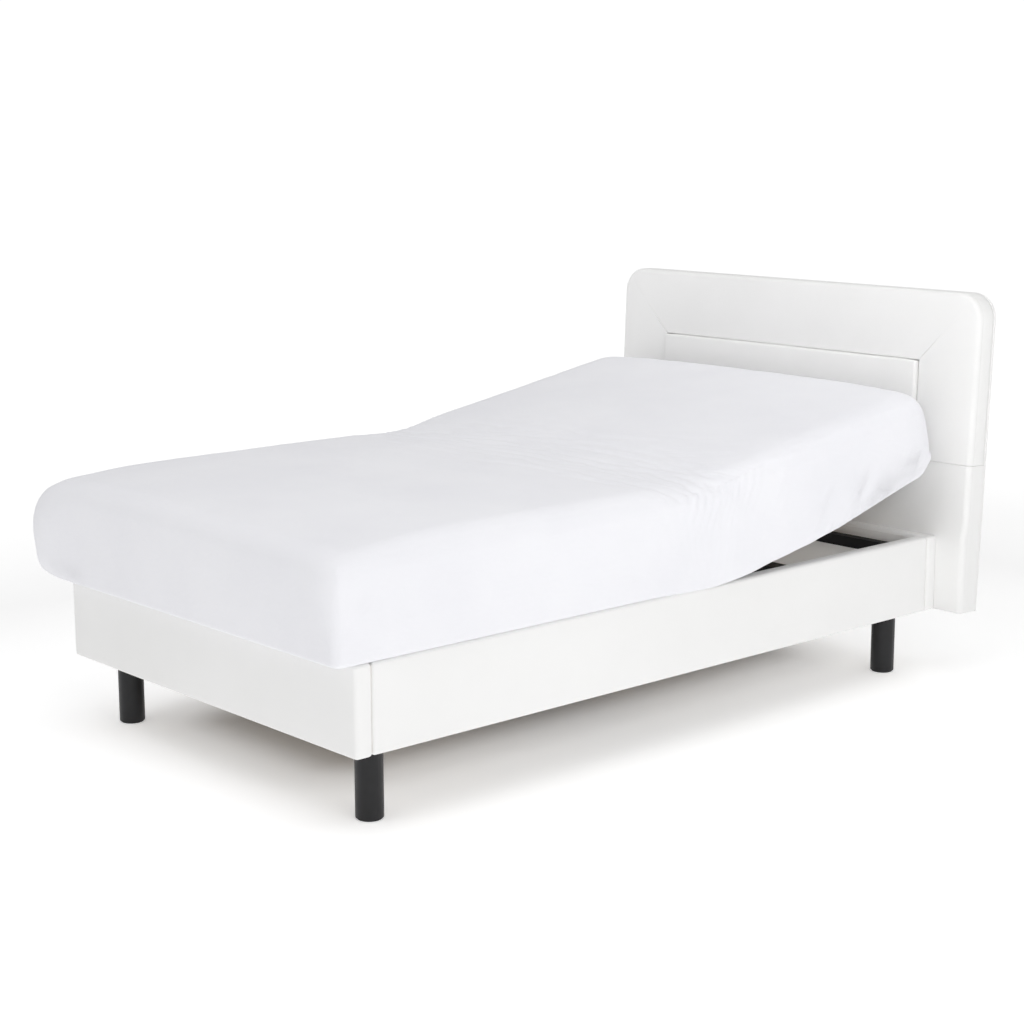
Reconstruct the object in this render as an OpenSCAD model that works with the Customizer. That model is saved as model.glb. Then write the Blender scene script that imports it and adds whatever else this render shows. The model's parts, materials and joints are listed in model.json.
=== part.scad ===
// Adjustable bed: upholstered box base on four round legs, a powered slatted
// deck with four sections inside the box, an upholstered headboard, and a
// mattress in a fitted sheet that bends with the deck.
// +Z up, +Y towards the headboard, origin on the floor under the middle.
// The deck is drawn with its back section raised by rest_tilt.

/* [Box base] */
// Outer width of the upholstered box
box_w = 1164; // [1100:1:1200]
// Outer length of the upholstered box
box_l = 2000; // [1980:1:2020]
// Height of the box's lower edge above the floor
box_z0 = 173; // [150:1:200]
// Height of the box's upper edge above the floor
box_z1 = 380; // [372:1:384]
// Thickness of the foot panel
foot_t = 47; // [40:1:60]
// Thickness of the side rails and the head-end panel
rail_t = 40; // [36:1:50]
// Thickness of the padded cover over the boards
pad_t = 8; // [5:1:12]

/* [Legs] */
// Radius of a leg
leg_r = 32; // [25:1:38]
// Leg axis, distance from the middle line
leg_x = 490; // [470:1:495]
// Leg axis, distance from mid length
leg_y = 896; // [880:1:900]

/* [Headboard] */
// Half width of the headboard
hb_x = 667; // [640:1:700]
// Height of the headboard's top edge
hb_z1 = 1042; // [980:1:1100]
// Thickness of the headboard
hb_t = 80; // [74:1:90]
// Radius of the top corners
hb_r = 70; // [40:1:90]
// Half width of the raised centre panel
panel_x = 474; // [460:1:520]
// Lower edge of the raised centre panel
panel_z0 = 580; // [560:1:600]
// Upper edge of the raised centre panel
panel_z1 = 850; // [820:1:880]
// Backward lean of the headboard, in degrees
lean = 2.5; // [0:0.5:4]

/* [Deck] */
// Tilt of the back section as drawn, in degrees
rest_tilt = 10; // [10:1:10]
// Height of the deck's hinge line
hinge_z = 348; // [348:1:348]
// Back hinge, distance from mid length
back_y = 100; // [100:1:100]
// Thigh hinge, distance from mid length
thigh_y = -250; // [-250:1:-250]
// Knee hinge, distance from mid length
knee_y = -550; // [-550:1:-550]
// Width of a slat
slat_w = 53; // [45:1:60]
// Thickness of a slat
slat_t = 8; // [7:1:9]
// Upward bow of a slat at mid width
slat_bow = 7; // [3:1:8]

/* [Mattress] */
// Left edge of the mattress
mat_x0 = -650; // [-660:1:-600]
// Right edge of the mattress
mat_x1 = 585; // [560:1:600]
// Height of the mattress's underside
mat_z0 = 380.5; // [380.5:0.5:384]
// Height of the mattress's top
mat_z1 = 650; // [600:1:660]
// Foot end of the mattress
mat_y0 = -1050; // [-1055:1:-1000]
// Head end of the mattress when flat
mat_y1 = 998; // [960:1:998]

/* [Hidden] */
$fn = 48;
dy = -34;                      // puts the middle of the whole length over the origin
hx = box_w / 2;
hy = box_l / 2;
rail_y0 = -hy + foot_t;        // side rails run between the end panels
rail_y1 = hy - rail_t;
in_x = hx - rail_t;            // inner face of the side rails
rx0 = 455;                     // deck rails
rx1 = 475;
rz0 = 335;
rz1 = 360;
wall = 2;
act_x = 110;                   // actuators, either side of the middle
pin_z = 244;                   // height of the push rods
pin_b = 65.55;                 // push-rod pins as drawn
pin_t = -222.1;
act_len = 535.5;               // gearbox centre to pin, as drawn
upholstery = "#e9e8e6";
sheet = "#e8e8f2";
steel = "#1b1b1d";
timber = "#c9a778";
slatwood = "#d9bd92";
plastic = "#232326";

module home() translate([0, dy, 0]) children();
module both() { children(); mirror([1, 0, 0]) children(); }
module box(x0, x1, y0, y1, z0, z1) translate([x0, y0, z0]) cube([x1 - x0, y1 - y0, z1 - z0]);
// profile in Y and Z, extruded along X
module along_x(x0, x1) translate([x0, 0, 0]) rotate([90, 0, 90]) linear_extrude(x1 - x0) children();
// profile in X and Z, extruded along Y
module along_y(y0, y1) translate([0, y1, 0]) rotate([90, 0, 0]) linear_extrude(y1 - y0) children();
module tube_y(x0, x1, y0, y1, z0, z1) difference() {
  box(x0, x1, y0, y1, z0, z1);
  box(x0 + wall, x1 - wall, y0 - 1, y1 + 1, z0 + wall, z1 - wall);
}
module tube_x(x0, x1, y0, y1, z0, z1) difference() {
  box(x0, x1, y0, y1, z0, z1);
  box(x0 - 1, x1 + 1, y0 + wall, y1 - wall, z0 + wall, z1 - wall);
}
module rod_x(x0, x1, y, z, r) translate([x0, y, z]) rotate([0, 90, 0]) cylinder(h = x1 - x0, r = r);
module rod_y(x, y0, y1, z, r) translate([x, y1, z]) rotate([90, 0, 0]) cylinder(h = y1 - y0, r = r);
// turns about a line along X through the point y, z
module tilt(a, y, z) translate([0, y, z]) rotate([a, 0, 0]) translate([0, -y, -z]) children();
module raised() tilt(rest_tilt, back_y, hinge_z) children();

// ---- box ----
module leg_glides() color(plastic) home()
  both() for (s = [-1, 1]) translate([leg_x, s * leg_y, 0]) cylinder(h = 4, r = leg_r - 4);

module legs() color(steel) home() both() for (s = [-1, 1]) translate([leg_x, s * leg_y, 0]) {
  translate([0, 0, 4]) cylinder(h = box_z0 - 4, r = leg_r);
  cylinder_up();
}
module cylinder_up() translate([0, 0, box_z0 - 1]) cylinder(h = 24, r = 5);

module corner_blocks() color(timber) home() both() {
  difference() {
    box(430, in_x, rail_y0, -843, box_z0, 195);
    translate([leg_x, -leg_y, box_z0 - 1]) cylinder(h = 30, r = 5);
  }
  difference() {
    box(430, in_x, 843, rail_y1, box_z0, 195);
    translate([leg_x, leg_y, box_z0 - 1]) cylinder(h = 30, r = 5);
  }
}

module side_boards() color(timber) home() both()
  box(in_x, hx - pad_t, rail_y0, rail_y1, box_z0 + pad_t, box_z1 - pad_t);

module foot_board() color(timber) home()
  box(-hx + pad_t, hx - pad_t, -hy + pad_t, rail_y0, box_z0 + pad_t, box_z1 - pad_t);

module head_board() color(timber) home() difference() {
  box(-hx + pad_t, hx - pad_t, rail_y1, hy - pad_t, box_z0 + pad_t, box_z1 - pad_t);
  both() for (z = [215, 285]) rod_y(350, rail_y1 - 1, hy + 1, z, 4);
}

module side_cover() difference() {
  box(in_x, hx, rail_y0, rail_y1, box_z0, box_z1);
  box(in_x - 1, hx - pad_t, rail_y0 - 1, rail_y1 + 1, box_z0 + pad_t, box_z1 - pad_t);
}
module side_cover_right() color(upholstery) home() side_cover();
module side_cover_left() color(upholstery) home() mirror([1, 0, 0]) side_cover();

module foot_cover() color(upholstery) home() difference() {
  box(-hx, hx, -hy, rail_y0, box_z0, box_z1);
  box(-hx + pad_t, hx - pad_t, -hy + pad_t, rail_y0 + 1, box_z0 + pad_t, box_z1 - pad_t);
}
module head_cover() color(upholstery) home() difference() {
  box(-hx, hx, rail_y1, hy, box_z0, box_z1);
  box(-hx + pad_t, hx - pad_t, rail_y1 - 1, hy - pad_t, box_z0 + pad_t, box_z1 - pad_t);
  both() for (z = [215, 285]) rod_y(350, rail_y1 - 1, hy + 1, z, 4);
}

module corner_brackets() color(steel) home() both() for (s = [-1, 1]) {
  e = s < 0 ? rail_y0 : rail_y1;
  difference() {
    union() {
      box(in_x - 3, in_x, min(e, e - s * 60), max(e, e - s * 60), 210, 300);
      box(in_x - 60, in_x, min(e, e - s * 3), max(e, e - s * 3), 210, 300);
    }
    for (z = [232, 278]) {
      rod_x(in_x - 5, in_x + 1, e - s * 36, z, 4);
      rod_y(in_x - 38, min(e, e - s * 5), max(e, e - s * 5), z, 4);
    }
  }
  for (z = [232, 278]) {
    rod_x(in_x - 9, in_x, e - s * 36, z, 4);
    rod_x(in_x - 9, in_x - 3, e - s * 36, z, 7);
    rod_y(in_x - 38, min(e, e - s * 9), max(e, e - s * 9), z, 4);
    rod_y(in_x - 38, min(e - s * 3, e - s * 9), max(e - s * 3, e - s * 9), z, 7);
  }
}

// ---- chassis ----
module chassis_side_tubes() color(steel) home() both() tube_y(490, 520, -930, 960, 300, 330);

module chassis_cross_tubes() color(steel) home() {
  for (y = [-915, -575, -135, -5, 418.4]) tube_x(-490, 490, y - 15, y + 15, 290, 320);
  tube_x(-490, 490, 930, 960, 318, 348);
  tube_x(-490, 490, 572, 622, 290, 320);
}

module chassis_brackets() color(steel) home() both() for (y = [-700, -60, 640]) {
  box(in_x - 4, in_x, y - 30, y + 30, 240, 335);
  box(490, in_x, y - 30, y + 30, 296, 300);
  for (s = [-18, 18]) {
    rod_x(in_x - 10, in_x - 3.5, y + s, 262, 8);
    rod_x(in_x - 4.5, in_x, y + s, 262, 4);
  }
}

module bearing_plates() color(steel) home() both() for (y = [back_y, thigh_y])
  difference() {
    along_x(480, 490) polygon([[y - 34, 300], [y + 34, 300], [y + 20, hinge_z + 20],
      [y + 12, hinge_z + 25], [y - 12, hinge_z + 25], [y - 20, hinge_z + 20]]);
    rod_x(479, 491, y, hinge_z, 12.05);
  }

module seat_rails() color(steel) home() both() {
  tube_y(rx0, rx1, thigh_y + 24, back_y - 24, rz0, rz1);
  for (y = [-135, -5]) box(rx0, rx1, y - 12, y + 12, 320, rz0);
}

// ---- slats ----
// half width hw, ends at z, bowed up in the middle
function bow(hw, z, n = 12) = [for (i = [0:n]) let (u = -1 + 2 * i / n) [u * hw, z + slat_bow * (1 - u * u)]];
module slat(y) along_y(y - slat_w / 2, y + slat_w / 2)
  polygon(concat(bow(474, 363.5), [for (p = bow(474, 363.5)) [-p[0], p[1] + slat_t]]));
module cap(y) difference() {
  box(452, 486, y - slat_w / 2 - 4, y + slat_w / 2 + 4, rz1, 374.5);
  box(445, 474.5, y - slat_w / 2 - 0.2, y + slat_w / 2 + 0.2, 363.2, 373);
}
function seat_at() = [-187.5, -112.5, -37.5, 37.5];
function back_at() = [for (i = [0:9]) 178 + 75 * i];
function thigh_at() = [-325, -400, -475];
function calf_at() = [-625, -700, -775, -850];

module seat_slats() color(slatwood) home() for (y = seat_at()) slat(y);
module seat_slat_caps() color(plastic) home() both() for (y = seat_at()) cap(y);
module back_slats() color(slatwood) home() raised() for (y = back_at()) slat(y);
module back_slat_caps() color(plastic) home() raised() both() for (y = back_at()) cap(y);
module thigh_slats() color(slatwood) home() for (y = thigh_at()) slat(y);
module thigh_slat_caps() color(plastic) home() both() for (y = thigh_at()) cap(y);
module calf_slats() color(slatwood) home() for (y = calf_at()) slat(y);
module calf_slat_caps() color(plastic) home() both() for (y = calf_at()) cap(y);

// ---- tilting frames ----
module torque_tube(y) difference() {
  union() {
    rod_x(-478, 478, y, hinge_z, 15);
    rod_x(-494, 494, y, hinge_z, 12);
  }
  rod_x(-495, 495, y, hinge_z, 9);
}
module back_torque_tube() color(steel) home() raised() torque_tube(back_y);
module thigh_torque_tube() color(steel) home() torque_tube(thigh_y);

// hangs from the tube at y; a is its angle from the vertical
module lever(x, y, a) tilt(a, y, hinge_z) difference() {
  along_x(x - 2.5, x + 2.5) polygon([[y - 24, hinge_z + 10], [y - 14, hinge_z + 22], [y + 14, hinge_z + 22],
    [y + 24, hinge_z + 10], [y + 16, hinge_z - 128], [y + 9, hinge_z - 134], [y - 9, hinge_z - 134], [y - 16, hinge_z - 128]]);
  rod_x(x - 4, x + 4, y, hinge_z, 15);
  box(x - 4, x + 4, y - 7, y + 7, hinge_z - 118, hinge_z - 103);
  rod_x(x - 4, x + 4, y, hinge_z - 103, 7);
  rod_x(x - 4, x + 4, y, hinge_z - 118, 7);
}
module back_levers() color(steel) home() for (s = [-13.5, 13.5]) lever(act_x + s, back_y, rest_tilt - 27.5);
module thigh_levers() color(steel) home() for (s = [-13.5, 13.5]) lever(-act_x + s, thigh_y, 15);

module back_rails() color(steel) home() raised() both() difference() {
  tube_y(rx0, rx1, back_y, 885, rz0, rz1);
  rod_x(rx0 - 1, rx1 + 1, back_y, hinge_z, 15);
  box(rx0 - 1, rx1 + 1, back_y - 1, back_y + 8, rz0 - 1, rz1 + 1);
  box(rx0 - 1, rx1 + 1, 760, 886, rz0 - 1, 352);      // shallow ends, so that the frame stays out of sight
}
module back_end_bar() color(steel) home() raised() box(-rx1, rx1, 885, 905, 352, rz1);

module thigh_rails() color(steel) home() both() difference() {
  tube_y(rx0, rx1, knee_y + 20, thigh_y, rz0, rz1);
  rod_x(rx0 - 1, rx1 + 1, thigh_y, hinge_z, 15);
  box(rx0 - 1, rx1 + 1, thigh_y - 8, thigh_y + 1, rz0 - 1, rz1 + 1);
}
// a plate on the inner side of each thigh rail, with the knee pin
module knee_hinges() color(steel) home() both() {
  box(rx0 - 5, rx0, knee_y - 13, knee_y + 66, rz0 + 1, rz1 - 1);
  rod_x(rx0 - 5, rx1 + 4, knee_y, hinge_z, 6);
  rod_x(rx1 + 0.6, rx1 + 4, knee_y, hinge_z, 9);
}
module calf_rails() color(steel) home() both() difference() {
  tube_y(rx0 + 0.5, rx1, -930, knee_y + 12, rz0, rz1);
  rod_x(rx0 - 1, rx1 + 1, knee_y, hinge_z, 6.05);
  rod_x(rx0 - 1, rx1 + 1, knee_y - 120, hinge_z, 4);
}
module calf_end_bar() color(steel) home() tube_x(-rx1, rx1, -950, -930, rz0, rz1);
// swinging links from the chassis that carry the calf section
link_p = [-496, 345];          // pivot on the chassis
link_q = [knee_y - 120, hinge_z];   // pin on the calf rail
link_len = sqrt(pow(link_q[0] - link_p[0], 2) + pow(link_q[1] - link_p[1], 2));
link_a = atan2(link_q[1] - link_p[1], link_p[0] - link_q[0]);
module calf_link_pins() color("#8d8f92") home() both() {
  rod_x(rx0 + 0.5, rx1 + 12, link_q[0], link_q[1], 4);
  rod_x(rx1 + 10, rx1 + 12, link_q[0], link_q[1], 7);
}
module calf_link_posts() color(steel) home() both() {
  difference() {
    union() {
      along_x(486, 490) polygon([[link_p[0] - 26, 300], [link_p[0] + 26, 300], [link_p[0] + 13, link_p[1] + 8],
        [link_p[0] + 6, link_p[1] + 13], [link_p[0] - 6, link_p[1] + 13], [link_p[0] - 13, link_p[1] + 8]]);
    }
    rod_x(485, 491, link_p[0], link_p[1], 6);
  }
  rod_x(rx1 + 4.5, 494, link_p[0], link_p[1], 6);
  rod_x(490, 494, link_p[0], link_p[1], 9);
}
// a flat bar with round ends; the hole at the calf end is larger, so that the link can swing freely
module calf_link() difference() {
  union() {
    rod_x(rx1 + 5.5, rx1 + 9.5, link_p[0], link_p[1], 10);
    rod_x(rx1 + 5.5, rx1 + 9.5, link_q[0], link_q[1], 10);
    translate([0, link_p[0], link_p[1]]) rotate([-link_a, 0, 0]) box(rx1 + 5.5, rx1 + 9.5, -link_len, 0, -9, 9);
  }
  rod_x(rx1 + 5, rx1 + 10, link_p[0], link_p[1], 6.05);
  rod_x(rx1 + 5, rx1 + 10, link_q[0], link_q[1], 5.8);
}
module calf_link_right() color(steel) home() calf_link();
module calf_link_left() color(steel) home() mirror([1, 0, 0]) calf_link();

// ---- actuators ----
// s = 1 pushes towards the head, s = -1 towards the foot; p is the pin as drawn
module act_body(x, p, s) {
  difference() {
    rod_y(x, min(p - s * 60.5, p - s * (act_len - 40)), max(p - s * 60.5, p - s * (act_len - 40)), pin_z, 18);
    rod_y(x, min(p - s * 59, p - s * 425), max(p - s * 59, p - s * 425), pin_z, 10.05);
  }
  c = p - s * act_len;
  difference() {
    union() {
      box(x - 35, x + 35, c - 40, c + 40, pin_z - 32, pin_z + 32);
      box(x - 11, x + 11, min(c, c - s * 72), max(c, c - s * 72), pin_z - 16, pin_z + 16);
    }
    rod_x(x - 12, x + 12, c - s * 58, pin_z, 6.05);
  }
}
module act_motor(x, c, s) {
  rod_x(min(x - s * 35, x - s * 150), max(x - s * 35, x - s * 150), c, pin_z, 26);
  rod_x(min(x - s * 150, x - s * 158), max(x - s * 150, x - s * 158), c, pin_z, 22);
}
module act_rod(x, p, s) {
  rod_y(x, min(p - s * 12, p - s * 400), max(p - s * 12, p - s * 400), pin_z, 10);
  difference() {
    box(x - 8, x + 8, p - 14, p + 14, pin_z - 11, pin_z + 11);
    rod_x(x - 9, x + 9, p, pin_z, 5);
  }
  rod_x(x - 19.5, x + 19.5, p, pin_z, 5);
  for (t = [-1, 1]) rod_x(x + min(t * 17, t * 19.5), x + max(t * 17, t * 19.5), p, pin_z, 9);
}
module back_actuator_body() color(plastic) home() act_body(act_x, pin_b, 1);
module leg_actuator_body() color(plastic) home() act_body(-act_x, pin_t, -1);
module back_actuator_motor() color("#3a3a3e") home() act_motor(act_x, pin_b - act_len, 1);
module leg_actuator_motor() color("#3a3a3e") home() act_motor(-act_x, pin_t + act_len, -1);
module back_actuator_rod() color("#b9bcc0") home() act_rod(act_x, pin_b, 1);
module leg_actuator_rod() color("#b9bcc0") home() act_rod(-act_x, pin_t, -1);

module hanger(x, y) difference() {
  box(x - 30, x + 30, y - 12, y + 12, pin_z - 26, 290);
  rod_y(x, y - 13, y + 13, pin_z, 18.05);
}
module rear_bracket(x, y, s) {
  for (t = [-1, 1]) difference() {
    box(x + min(t * 11, t * 15), x + max(t * 11, t * 15), min(y - s * 14, y + s * 62), max(y - s * 14, y + s * 62), pin_z - 18, 290);
    rod_x(x - 16, x + 16, y + s * 47, pin_z, 6);
  }
  rod_x(x - 19, x + 19, y + s * 47, pin_z, 6);
}
module actuator_brackets() color(steel) home() {
  hanger(act_x, -5);
  hanger(-act_x, -137);
  rear_bracket(act_x, -575, 1);
  rear_bracket(-act_x, 418.4, -1);
}
module control_box() color(plastic) home() difference() {
  box(200, 380, -146, 6, 244, 290);
  for (i = [0:3]) rod_y(225 + 26 * i, 0, 8, 262, 6);
}

// ---- headboard ----
function arc(cx, cz, r, a0, a1, n = 10) = [for (i = [0:n]) let (a = a0 + (a1 - a0) * i / n) [cx + r * cos(a), cz + r * sin(a)]];
core_x = hb_x - 12;
core_z1 = hb_z1 - 12;
core_z0 = box_z0 + 12;
pad_y = hy + 30;               // back of the front pads, front of the core
back_pad = 14;
module hb_core_2d(x, z0, z1, r) polygon(concat([[x, z0]], arc(x - r, z1 - r, r, 0, 90),
  arc(-x + r, z1 - r, r, 90, 180), [[-x, z0]]));
module hb_core_cut() along_y(pad_y, hy + hb_t) hb_core_2d(core_x, core_z0, core_z1, hb_r - 12);
module leaned() tilt(-lean, hy, box_z0) children();
module bolt_holes(y0, y1) both() for (z = [215, 285]) rod_y(350, y0, y1, z, 4);
module headboard_core() color(timber) home() difference() {
  leaned() along_y(pad_y, hy + hb_t - back_pad) hb_core_2d(core_x, core_z0, core_z1, hb_r - 12);
  bolt_holes(pad_y - 1, hy + 50);
}
// upright where it meets the box, leaning above it
module headboard_lower_pad() color(upholstery) home() difference() {
  union() {
    leaned() box(-hb_x, hb_x, hy, hy + hb_t - back_pad, box_z0, panel_z0 - 0.5);
    along_x(-hb_x, hb_x) polygon([[hy, box_z0], [hy, box_z1], [hy + 12, box_z1 + 25], [hy + 20, box_z1], [hy + 12, box_z0 + 2]]);
  }
  leaned() hb_core_cut();
  bolt_holes(hy - 1, pad_y + 10);
}
module wing() leaned() difference() {
  along_y(hy, hy + hb_t - back_pad) polygon(concat([[panel_x + 0.5, panel_z0], [hb_x, panel_z0]],
    arc(hb_x - hb_r, hb_z1 - hb_r, hb_r, 0, 48, 5), [[panel_x + 0.5, panel_z1]]));
  hb_core_cut();
}
module headboard_wing_right() color(upholstery) home() wing();
module headboard_wing_left() color(upholstery) home() mirror([1, 0, 0]) wing();
module headboard_top_pad() color(upholstery) home() leaned() difference() {
  along_y(hy, hy + hb_t - back_pad) polygon(concat([[panel_x, panel_z1 + 0.7]],
    arc(hb_x - hb_r, hb_z1 - hb_r, hb_r, 48.6, 90, 5), arc(-hb_x + hb_r, hb_z1 - hb_r, hb_r, 90, 131.4, 5),
    [[-panel_x, panel_z1 + 0.7]]));
  hb_core_cut();
}
module headboard_centre_pad() color(upholstery) home() leaned()
  box(-panel_x + 0.5, panel_x - 0.5, hy - 12, pad_y, panel_z0 + 0.5, panel_z1 - 0.5);
module headboard_back_pad() color(upholstery) home() leaned()
  along_y(hy + hb_t - back_pad, hy + hb_t) hb_core_2d(hb_x, box_z0, hb_z1, hb_r);
module headboard_bolts() color("#8d8f92") home() both() for (z = [215, 285]) {
  rod_y(350, rail_y1 - 4, hy + 50, z, 4);
  rod_y(350, rail_y1 - 9, rail_y1, z, 9);
}

// ---- mattress: four closed blocks that tilt with the deck, and a filler at each fold ----
mh = mat_z1 - mat_z0;
function hip_seat(z) = back_y - 19 - (z - mat_z0) * tan(12);
function hip_back(z) = back_y + 19 + (z - mat_z0) * tan(47);    // with the section flat
function fold_seat(z) = thigh_y + 19 + (z - mat_z0) * tan(10);
function fold_thigh(z) = thigh_y - 19 - (z - mat_z0) * tan(20);
// the same line on the back block once it is tilted by rest_tilt
function turned(y, z) = [back_y + (y - back_y) * cos(rest_tilt) - (z - hinge_z) * sin(rest_tilt),
  hinge_z + (y - back_y) * sin(rest_tilt) + (z - hinge_z) * cos(rest_tilt)];
module mattress_back() color(sheet) home() raised() along_x(mat_x0, mat_x1)
  polygon([[hip_back(mat_z0), mat_z0], [mat_y1, mat_z0], [mat_y1, mat_z1], [hip_back(mat_z1), mat_z1]]);
module mattress_seat() color(sheet) home() along_x(mat_x0, mat_x1)
  polygon([[fold_seat(mat_z0), mat_z0], [hip_seat(mat_z0), mat_z0], [hip_seat(mat_z1), mat_z1], [fold_seat(mat_z1), mat_z1]]);
module mattress_thigh() color(sheet) home() along_x(mat_x0, mat_x1)
  polygon([[knee_y + 0.5, mat_z0], [fold_thigh(mat_z0), mat_z0], [fold_thigh(mat_z1), mat_z1], [knee_y + 0.5, mat_z1]]);
module mattress_calf() color(sheet) home() along_x(mat_x0, mat_x1)
  polygon([[mat_y0, mat_z0], [knee_y - 0.5, mat_z0], [knee_y - 0.5, mat_z1], [mat_y0, mat_z1]]);
a_low = turned(hip_back(mat_z0), mat_z0);
a_top = turned(hip_back(mat_z1), mat_z1);
module mattress_hip_fold() color(sheet) home() along_x(mat_x0, mat_x1)
  polygon([[hip_seat(mat_z0) + 0.5, mat_z0], [a_low[0] - 1, a_low[1]], [a_top[0] - 1, a_top[1]], [hip_seat(mat_z1) + 0.5, mat_z1]]);
module mattress_thigh_fold() color(sheet) home() along_x(mat_x0, mat_x1)
  polygon([[fold_thigh(mat_z0) + 0.5, mat_z0], [fold_seat(mat_z0) - 0.5, mat_z0], [fold_seat(mat_z1) - 0.5, mat_z1], [fold_thigh(mat_z1) + 0.5, mat_z1]]);

leg_glides();
legs();
corner_blocks();
side_boards();
foot_board();
head_board();
side_cover_right();
side_cover_left();
foot_cover();
head_cover();
corner_brackets();
chassis_side_tubes();
chassis_cross_tubes();
chassis_brackets();
bearing_plates();
seat_rails();
seat_slats();
seat_slat_caps();
actuator_brackets();
back_actuator_body();
back_actuator_motor();
back_actuator_rod();
leg_actuator_body();
leg_actuator_motor();
leg_actuator_rod();
control_box();
back_rails();
back_end_bar();
back_torque_tube();
back_levers();
back_slats();
back_slat_caps();
thigh_rails();
thigh_torque_tube();
thigh_levers();
thigh_slats();
thigh_slat_caps();
knee_hinges();
calf_rails();
calf_end_bar();
calf_slats();
calf_slat_caps();
calf_link_pins();
calf_link_posts();
calf_link_right();
calf_link_left();
headboard_core();
headboard_lower_pad();
headboard_wing_right();
headboard_wing_left();
headboard_top_pad();
headboard_centre_pad();
headboard_back_pad();
headboard_bolts();
mattress_back();
mattress_seat();
mattress_thigh();
mattress_calf();
mattress_hip_fold();
mattress_thigh_fold();
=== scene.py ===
import json
import math

import bpy
import numpy as np
from mathutils import Matrix, Vector


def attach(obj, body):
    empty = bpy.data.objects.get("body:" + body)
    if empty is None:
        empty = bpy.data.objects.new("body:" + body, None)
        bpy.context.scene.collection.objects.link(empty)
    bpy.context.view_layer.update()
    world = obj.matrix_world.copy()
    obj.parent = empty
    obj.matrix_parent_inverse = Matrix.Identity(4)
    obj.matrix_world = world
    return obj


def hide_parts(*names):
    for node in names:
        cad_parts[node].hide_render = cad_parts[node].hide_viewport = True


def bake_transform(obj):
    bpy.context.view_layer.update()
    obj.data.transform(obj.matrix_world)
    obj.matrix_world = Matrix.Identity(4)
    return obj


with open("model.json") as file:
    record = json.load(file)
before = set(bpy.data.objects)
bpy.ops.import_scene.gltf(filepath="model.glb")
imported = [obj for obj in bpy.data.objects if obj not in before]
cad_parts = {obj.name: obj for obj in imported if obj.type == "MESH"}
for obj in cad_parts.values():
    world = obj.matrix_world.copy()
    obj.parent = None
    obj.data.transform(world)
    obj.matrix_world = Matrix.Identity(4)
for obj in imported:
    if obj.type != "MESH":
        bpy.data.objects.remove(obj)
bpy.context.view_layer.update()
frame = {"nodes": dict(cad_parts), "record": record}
nodes = frame["nodes"]
scene = bpy.context.scene
DY = -0.034          # the design's middle to the row origin, along Y

# ------------------------------------------------------------------ camera
AZ, EL, ROLL = math.radians(48.19), math.radians(11.09), math.radians(-0.1)
back = Vector((math.sin(AZ) * math.cos(EL), -math.cos(AZ) * math.cos(EL), math.sin(EL)))
fwd = -back
right = fwd.cross(Vector((0, 0, 1))).normalized()
up = right.cross(fwd)
r2 = right * math.cos(ROLL) + up * math.sin(ROLL)
u2 = up * math.cos(ROLL) - right * math.sin(ROLL)
cam_data = bpy.data.cameras.new("camera")
cam_data.sensor_width = 36.0
cam_data.lens = 2029.2 / 1024 * 36.0
cam_data.clip_end = 200
cam = bpy.data.objects.new("camera", cam_data)
scene.collection.objects.link(cam)
cam.matrix_world = Matrix((
    (r2.x, u2.x, back.x, 3.855),
    (r2.y, u2.y, back.y, -3.486 + DY),
    (r2.z, u2.z, back.z, 1.512),
    (0, 0, 0, 1)))
scene.camera = cam
scene.view_settings.view_transform = "Standard"
scene.view_settings.look = "None"
scene.view_settings.exposure = 0
scene.view_settings.gamma = 1


# ------------------------------------------------------------------ noise
def _hash(ix, iy, iz, seed):
    h = (ix.astype(np.int64) * 374761393 + iy.astype(np.int64) * 668265263
         + iz.astype(np.int64) * 2147483647 + seed * 1274126177) & 0xFFFFFFFF
    h = ((h ^ (h >> 13)) * 1274126177) & 0xFFFFFFFF
    h = (h ^ (h >> 16)) & 0xFFFFFFFF
    return h.astype(np.float64) / 4294967295.0 * 2 - 1


def noise3(x, y, z, seed=0):
    """Smooth value noise from -1 to 1, the same on every run."""
    x, y, z = np.broadcast_arrays(np.asarray(x, float), np.asarray(y, float), np.asarray(z, float))
    ix, iy, iz = np.floor(x), np.floor(y), np.floor(z)
    fx, fy, fz = x - ix, y - iy, z - iz
    fx, fy, fz = (t * t * t * (t * (t * 6 - 15) + 10) for t in (fx, fy, fz))
    out = 0
    for dx in (0, 1):
        for dy in (0, 1):
            for dz in (0, 1):
                w = (fx if dx else 1 - fx) * (fy if dy else 1 - fy) * (fz if dz else 1 - fz)
                out = out + w * _hash(ix + dx, iy + dy, iz + dz, seed)
    return out


def smooth(a, b, x):
    t = np.clip((np.asarray(x, float) - a) / (b - a), 0, 1)
    return t * t * (3 - 2 * t)


# ------------------------------------------------------------------ node materials
def new_mat(name):
    m = bpy.data.materials.new(name)
    m.use_nodes = True
    nt = m.node_tree
    for n in list(nt.nodes):
        nt.nodes.remove(n)
    out = nt.nodes.new("ShaderNodeOutputMaterial")
    b = nt.nodes.new("ShaderNodeBsdfPrincipled")
    nt.links.new(b.outputs[0], out.inputs[0])
    return m, nt, b


def coords(nt, scale=(1, 1, 1), rot=(0, 0, 0)):
    tc = nt.nodes.new("ShaderNodeTexCoord")
    mp = nt.nodes.new("ShaderNodeMapping")
    mp.inputs["Scale"].default_value = scale
    mp.inputs["Rotation"].default_value = rot
    nt.links.new(tc.outputs["Object"], mp.inputs["Vector"])
    return mp.outputs[0]


def noise_tex(nt, vec, scale, detail=2.0, rough=0.5, dist=0.0):
    n = nt.nodes.new("ShaderNodeTexNoise")
    n.inputs["Scale"].default_value = scale
    n.inputs["Detail"].default_value = detail
    n.inputs["Roughness"].default_value = rough
    n.inputs["Distortion"].default_value = dist
    nt.links.new(vec, n.inputs["Vector"])
    return n.outputs["Fac"]


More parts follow.
